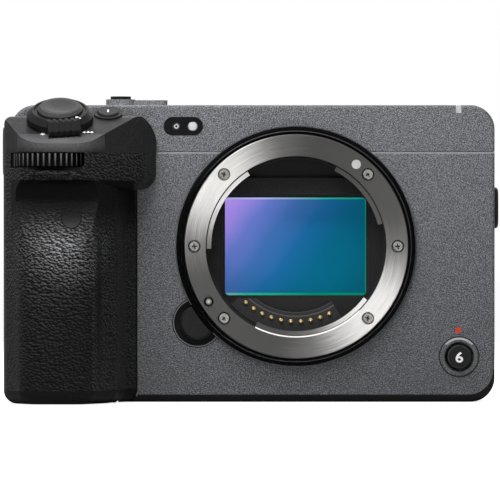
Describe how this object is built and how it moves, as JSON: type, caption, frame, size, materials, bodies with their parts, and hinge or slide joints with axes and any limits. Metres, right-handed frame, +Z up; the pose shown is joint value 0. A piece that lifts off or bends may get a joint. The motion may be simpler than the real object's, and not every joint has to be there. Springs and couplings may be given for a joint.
{
  "type": "cinema camera body",
  "caption": "Compact box-shaped cinema camera body with hand grip, bayonet lens mount, image sensor, side-hinged monitor, dials, buttons and doors.",
  "frame": {"origin": "on the optical axis in the plane of the lens flange", "axes": "-Y looks out of the lens mount, +X runs from the grip to the port side, +Z is up"},
  "size_m": [0.1301, 0.0848, 0.0807],
  "materials": {
    "body_grey": "fine speckled satin paint",
    "black_plastic": "fine matte texture",
    "grip_skin": "leather-grain rubber",
    "mount_steel": "turned and brushed",
    "screw_steel": "bright",
    "gold": "polished plating",
    "black_metal": "black anodised",
    "frame_metal": "cast magnesium",
    "gloss_black": "polished",
    "lamp_clear": "frosted clear",
    "sensor_glass": "coated",
    "sensor_die": "iridescent die",
    "board_green": "solder mask",
    "battery_black": "moulded",
    "heat_metal": "bare",
    "display_glass": "polished",
    "rubber_door": "matte",
    "dark_button": "satin"
  },
  "bodies": {
    "camera": {"front_cover": "body_grey", "top_cover": "body_grey", "rear_cover": "body_grey", "side_cover": "body_grey", "base_plate": "black_plastic", "grip_body": "black_plastic", "grip_leather": "grip_skin", "grip_top_housing": "black_plastic", "chassis": "frame_metal", "mount_ring": "mount_steel", "mount_trim_ring": "black_metal", "mount_screws": "screw_steel", "bayonet_springs": "screw_steel", "contact_block": "black_plastic", "contact_pins": "gold", "light_baffle": "black_metal", "stabiliser_base": "frame_metal", "main_board": "board_green", "cooling_duct": "heat_metal", "battery": "battery_black", "card_unit": "heat_metal", "accessory_shoe": "screw_steel", "front_window": "gloss_black", "indicator_lenses": "lamp_clear", "front_button_bezel": "black_metal", "connectors": "heat_metal", "strap_lugs": "gloss_black", "threaded_bushes": "screw_steel", "base_screws": "screw_steel"},
    "release_button": {"lens_release_button": "dark_button"},
    "lock_pin": {"lens_lock_pin": "screw_steel"},
    "custom_button": {"front_button": "dark_button"},
    "shutter": {"shutter_button": "dark_button"},
    "zoom": {"zoom_lever": "black_metal"},
    "record": {"record_button": "dark_button"},
    "front_wheel": {"front_dial": "black_metal"},
    "rear_wheel": {"rear_dial": "black_metal"},
    "switch": {"power_switch": "dark_button"},
    "top_key": {"top_button": "dark_button"},
    "stick_gimbal": {"joystick_gimbal": "screw_steel"},
    "stick": {"joystick": "rubber_door"},
    "menu_key": {"menu_button": "dark_button"},
    "function_key": {"function_button": "dark_button"},
    "play_key": {"play_button": "dark_button"},
    "delete_key": {"delete_button": "dark_button"},
    "wheel": {"control_wheel": "black_metal"},
    "centre_key": {"centre_button": "dark_button"},
    "display": {"monitor_arm": "black_plastic", "monitor": "black_plastic", "monitor_glass": "display_glass"},
    "battery_hatch": {"battery_door": "black_plastic"},
    "hatch_latch": {"battery_latch": "dark_button"},
    "card_hatch": {"card_door": "body_grey"},
    "lower_flap": {"port_door_lower": "rubber_door"},
    "upper_flap": {"port_door_upper": "rubber_door"},
    "sensor_yoke": {"stabiliser_yoke": "black_metal"},
    "sensor_unit": {"sensor_carrier": "black_metal", "sensor_window": "sensor_glass", "image_sensor": "sensor_die"},
    "fan": {"fan_impeller": "battery_black"}
  },
  "joints": [
    {"name": "lens_release_press", "type": "slide", "parent": "camera", "child": "release_button", "axis": [0, 1, 0], "range_m": [0, 0.002], "stiffness_N_per_m": 800},
    {"name": "lock_pin_retract", "type": "slide", "parent": "camera", "child": "lock_pin", "axis": [0, 1, 0], "range_m": [0, 0.0014], "stiffness_N_per_m": 400},
    {"name": "custom_button_press", "type": "slide", "parent": "camera", "child": "custom_button", "axis": [0, 1, 0], "range_m": [0, 0.0006], "stiffness_N_per_m": 2000},
    {"name": "shutter_press", "type": "slide", "parent": "camera", "child": "shutter", "axis": [0, 0.4384, -0.8988], "range_m": [0, 0.001], "stiffness_N_per_m": 1500},
    {"name": "zoom_turn", "type": "hinge", "parent": "camera", "child": "zoom", "pos_m": [-0.061, -0.0131, 0.03225], "axis": [0, -0.4384, 0.8988], "range_deg": [-12, 12], "stiffness_Nm_per_rad": 0.15},
    {"name": "record_press", "type": "slide", "parent": "camera", "child": "record", "axis": [0, 0.4384, -0.8988], "range_m": [0, 0.0006], "stiffness_N_per_m": 2000},
    {"name": "front_wheel_spin", "type": "hinge", "parent": "camera", "child": "front_wheel", "pos_m": [-0.0633, -0.0161, 0.022], "axis": [0, 0, 1], "continuous": true},
    {"name": "rear_wheel_spin", "type": "hinge", "parent": "camera", "child": "rear_wheel", "pos_m": [-0.058, 0.0436, 0.0294], "axis": [0, 0, 1], "continuous": true},
    {"name": "switch_turn", "type": "hinge", "parent": "camera", "child": "switch", "pos_m": [-0.0463, 0.03, 0.038], "axis": [0, 0, 1], "range_deg": [-40, 0]},
    {"name": "top_key_press", "type": "slide", "parent": "camera", "child": "top_key", "axis": [0, 0, -1], "range_m": [0, 0.0005], "stiffness_N_per_m": 2000},
    {"name": "stick_rock", "type": "hinge", "parent": "camera", "child": "stick_gimbal", "pos_m": [-0.047, 0.047, 0.014], "axis": [1, 0, 0], "range_deg": [-8, 8], "stiffness_Nm_per_rad": 0.05},
    {"name": "stick_sway", "type": "hinge", "parent": "stick_gimbal", "child": "stick", "pos_m": [-0.047, 0.047, 0.014], "axis": [0, 0, 1], "range_deg": [-8, 8], "stiffness_Nm_per_rad": 0.05},
    {"name": "menu_key_press", "type": "slide", "parent": "camera", "child": "menu_key", "axis": [0, -1, 0], "range_m": [0, 0.0005], "stiffness_N_per_m": 2000},
    {"name": "function_key_press", "type": "slide", "parent": "camera", "child": "function_key", "axis": [0, -1, 0], "range_m": [0, 0.0005], "stiffness_N_per_m": 2000},
    {"name": "play_key_press", "type": "slide", "parent": "camera", "child": "play_key", "axis": [0, -1, 0], "range_m": [0, 0.0005], "stiffness_N_per_m": 2000},
    {"name": "delete_key_press", "type": "slide", "parent": "camera", "child": "delete_key", "axis": [0, -1, 0], "range_m": [0, 0.0005], "stiffness_N_per_m": 2000},
    {"name": "centre_key_press", "type": "slide", "parent": "camera", "child": "centre_key", "axis": [0, -1, 0], "range_m": [0, 0.0005], "stiffness_N_per_m": 2000},
    {"name": "wheel_spin", "type": "hinge", "parent": "camera", "child": "wheel", "pos_m": [-0.05, 0.05, -0.014], "axis": [0, 1, 0], "continuous": true},
    {"name": "display_swing", "type": "hinge", "parent": "camera", "child": "display", "pos_m": [0.0467, 0.0514, -0.008], "axis": [0, 0, -1], "range_deg": [0, 176]},
    {"name": "battery_hatch_swing", "type": "hinge", "parent": "camera", "child": "battery_hatch", "pos_m": [-0.0472, 0.0166, -0.03988], "axis": [0, -1, 0], "range_deg": [0, 95]},
    {"name": "hatch_latch_slide", "type": "slide", "parent": "battery_hatch", "child": "hatch_latch", "axis": [1, 0, 0], "range_m": [-0.0011, 0]},
    {"name": "card_hatch_swing", "type": "hinge", "parent": "camera", "child": "card_hatch", "pos_m": [-0.07525, 0.02225, -0.005], "axis": [0, 0, 1], "range_deg": [0, 100]},
    {"name": "lower_flap_swing", "type": "hinge", "parent": "camera", "child": "lower_flap", "pos_m": [0.0511, 0.026, -0.022], "axis": [0, 0, 1], "range_deg": [0, 110]},
    {"name": "upper_flap_swing", "type": "hinge", "parent": "camera", "child": "upper_flap", "pos_m": [0.0511, 0.026, -0.0022], "axis": [0, 0, 1], "range_deg": [0, 110]},
    {"name": "sensor_lift", "type": "slide", "parent": "camera", "child": "sensor_yoke", "axis": [0, 0, 1], "range_m": [-0.001, 0.001], "stiffness_N_per_m": 600},
    {"name": "sensor_shift", "type": "slide", "parent": "sensor_yoke", "child": "sensor_unit", "axis": [1, 0, 0], "range_m": [-0.001, 0.001], "stiffness_N_per_m": 600},
    {"name": "fan_spin", "type": "hinge", "parent": "camera", "child": "fan", "pos_m": [0.028, 0.033, -0.002], "axis": [0, 1, 0], "continuous": true}
  ],
  "couplings": [
    {"joint": "lock_pin_retract", "follows": "lens_release_press", "ratio": 0.7}
  ]
}
